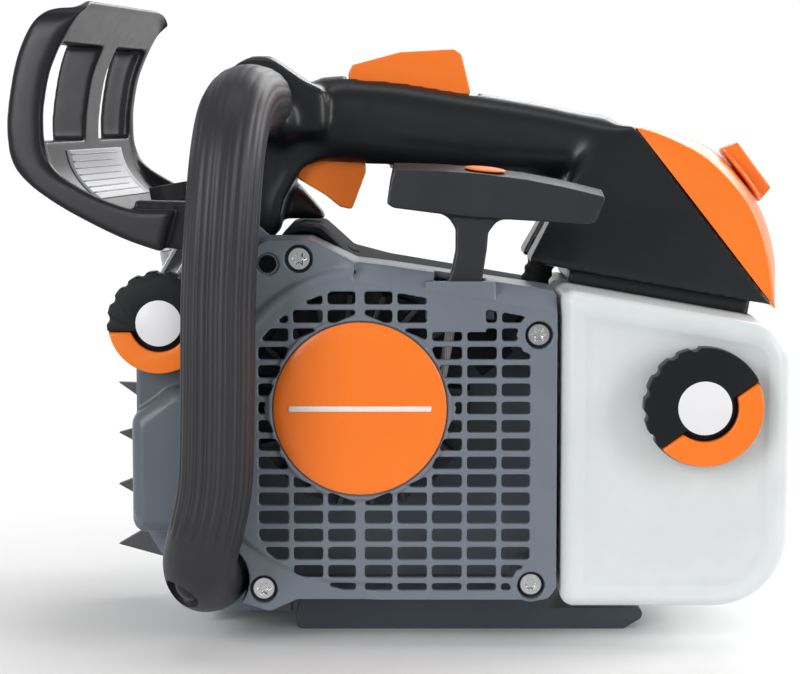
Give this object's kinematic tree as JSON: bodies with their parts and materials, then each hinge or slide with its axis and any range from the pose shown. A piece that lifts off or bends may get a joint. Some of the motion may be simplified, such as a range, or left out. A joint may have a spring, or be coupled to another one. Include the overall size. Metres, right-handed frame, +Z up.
{
  "type": "chainsaw powerhead",
  "caption": "Top-handle petrol chainsaw powerhead with a front handlebar, hand guard, recoil starter, fuel and oil tanks and a clutch, without the guide bar and chain.",
  "frame": {"origin": "underside of the base plate, at mount base_rest, below the crankshaft's rear side on the middle plane of the top handle", "axes": "+X to the rear (away from the bar), +Y to the clutch side, +Z up"},
  "size_m": [0.2813, 0.1811, 0.2274],
  "materials": {
    "slate": "satin",
    "black": "satin",
    "dark": "satin",
    "orange": "gloss",
    "tank": "satin",
    "rubber": "matte",
    "alu": "cast",
    "steel": "brushed",
    "dark_steel": "matte",
    "white": "satin",
    "felt": "matte",
    "rope": "matte"
  },
  "bodies": {
    "powerhead": {"crankcase_left": "slate", "crankcase_right": "slate", "base_plate": "slate", "main_bearings": "steel", "cylinder": "alu", "cylinder_shroud": "dark", "spark_plug": "steel", "ignition_lead": "rubber", "ignition_module": "black", "muffler": "dark_steel", "intake_boot": "rubber", "carburetor": "alu", "air_filter": "felt", "fan_cover": "slate", "cover_badge": "orange", "cover_screws": "steel", "recoil_spring": "steel", "brake_band": "steel", "oil_pump": "alu", "oil_pickup": "rubber", "side_plate": "steel", "bar_stud": "steel", "bar_nut": "steel", "sprocket_cover": "slate", "bumper_spike": "steel", "oil_tank": "slate", "fuel_tank": "tank", "fuel_pickup": "rubber", "handlebar": "alu", "handlebar_grip": "rubber", "handlebar_screws": "steel", "top_handle": "black", "av_mounts": "rubber", "filter_cover": "orange", "throttle_link": "steel"},
    "crank": {"crankshaft": "steel", "flywheel": "alu", "clutch": "steel"},
    "piston_rod": {"piston": "alu", "connecting_rod": "steel"},
    "drum": {"clutch_drum": "steel"},
    "pull": {"starter_grip": "dark", "starter_grip_insert": "orange", "starter_rope": "rope"},
    "rotor": {"rope_rotor": "black", "rope_coil": "rope"},
    "brake_crank": {"brake_lever": "steel"},
    "tension_screw": {"tensioner_screw": "steel"},
    "tension_pin": {"tensioner_pin": "steel"},
    "oil_cap_body": {"oil_cap": "black", "oil_cap_seal": "rubber"},
    "oil_bail": {"oil_cap_bail": "orange"},
    "fuel_cap_body": {"fuel_cap": "black", "fuel_cap_seal": "rubber"},
    "fuel_bail": {"fuel_cap_bail": "orange"},
    "knob": {"cover_knob": "orange"},
    "trigger": {"throttle_trigger": "orange"},
    "interlock": {"throttle_interlock": "orange"},
    "lever": {"control_lever": "black"},
    "guard": {"hand_guard": "black"}
  },
  "joints": [
    {"name": "crank_spin", "type": "hinge", "parent": "powerhead", "child": "crank", "pos_m": [-0.014, 0, 0.085], "axis": [0, 1, 0], "continuous": true},
    {"name": "piston_stroke", "type": "slide", "parent": "powerhead", "child": "piston_rod", "axis": [-0.866, 0, 0.5], "range_m": [0, 0.028]},
    {"name": "drum_spin", "type": "hinge", "parent": "powerhead", "child": "drum", "pos_m": [-0.014, 0.035, 0.085], "axis": [0, 1, 0], "continuous": true},
    {"name": "starter_pull", "type": "slide", "parent": "powerhead", "child": "pull", "axis": [0.1736, 0, 0.9848], "range_m": [0, 0.045], "stiffness_N_per_m": 60, "springref_m": -0.02},
    {"name": "rotor_turn", "type": "hinge", "parent": "powerhead", "child": "rotor", "pos_m": [-0.014, -0.06, 0.085], "axis": [0, -1, 0], "range_deg": [0, 100]},
    {"name": "guard_tilt", "type": "hinge", "parent": "powerhead", "child": "guard", "pos_m": [-0.068, 0, 0.148], "axis": [0, -1, 0], "range_deg": [0, 22]},
    {"name": "brake_turn", "type": "hinge", "parent": "powerhead", "child": "brake_crank", "pos_m": [-0.036, 0.047, 0.108], "axis": [0, -1, 0], "range_deg": [-11, 0]},
    {"name": "tension_turn", "type": "hinge", "parent": "powerhead", "child": "tension_screw", "pos_m": [-0.08, 0.0405, 0.059], "axis": [1, 0, 0], "range_deg": [0, 1440]},
    {"name": "tension_slide", "type": "slide", "parent": "powerhead", "child": "tension_pin", "axis": [1, 0, 0], "range_m": [0, 0.004]},
    {"name": "oil_cap_turn", "type": "hinge", "parent": "powerhead", "child": "oil_cap_body", "pos_m": [-0.086, -0.05, 0.1136], "axis": [0, -1, 0], "range_deg": [0, 90]},
    {"name": "oil_bail_flip", "type": "hinge", "parent": "oil_cap_body", "child": "oil_bail", "pos_m": [-0.086, -0.0546, 0.109], "axis": [-1, 0, 0], "range_deg": [0, 90]},
    {"name": "fuel_cap_turn", "type": "hinge", "parent": "powerhead", "child": "fuel_cap_body", "pos_m": [0.1056, -0.075, 0.0865], "axis": [0, -1, 0], "range_deg": [0, 90]},
    {"name": "fuel_bail_flip", "type": "hinge", "parent": "fuel_cap_body", "child": "fuel_bail", "pos_m": [0.10824, -0.0814, 0.08273], "axis": [-0.8192, 0, -0.5736], "range_deg": [0, 90]},
    {"name": "cover_knob_turn", "type": "hinge", "parent": "powerhead", "child": "knob", "pos_m": [0.11055, 0, 0.1516], "axis": [0.7983, 0, 0.6022], "range_deg": [0, 90]},
    {"name": "throttle_pull", "type": "hinge", "parent": "powerhead", "child": "trigger", "pos_m": [-0.033, 0, 0.176], "axis": [0, -1, 0], "range_deg": [0, 14], "stiffness_Nm_per_rad": 0.4, "springref_deg": -8.59},
    {"name": "interlock_press", "type": "hinge", "parent": "powerhead", "child": "interlock", "pos_m": [-0.014, 0, 0.197], "axis": [0, 1, 0], "range_deg": [0, 8], "stiffness_Nm_per_rad": 0.6, "springref_deg": -5.73},
    {"name": "control_select", "type": "hinge", "parent": "powerhead", "child": "lever", "pos_m": [-0.027, 0.015, 0.186], "axis": [0, 1, 0], "range_deg": [0, 25]}
  ],
  "couplings": [
    {"joint": "rotor_turn", "follows": "starter_pull", "rad_per_m": 37.453},
    {"joint": "tension_turn", "follows": "tension_slide", "rad_per_m": 6283.2},
    {"joint": "brake_turn", "follows": "guard_tilt", "ratio": -0.5}
  ]
}
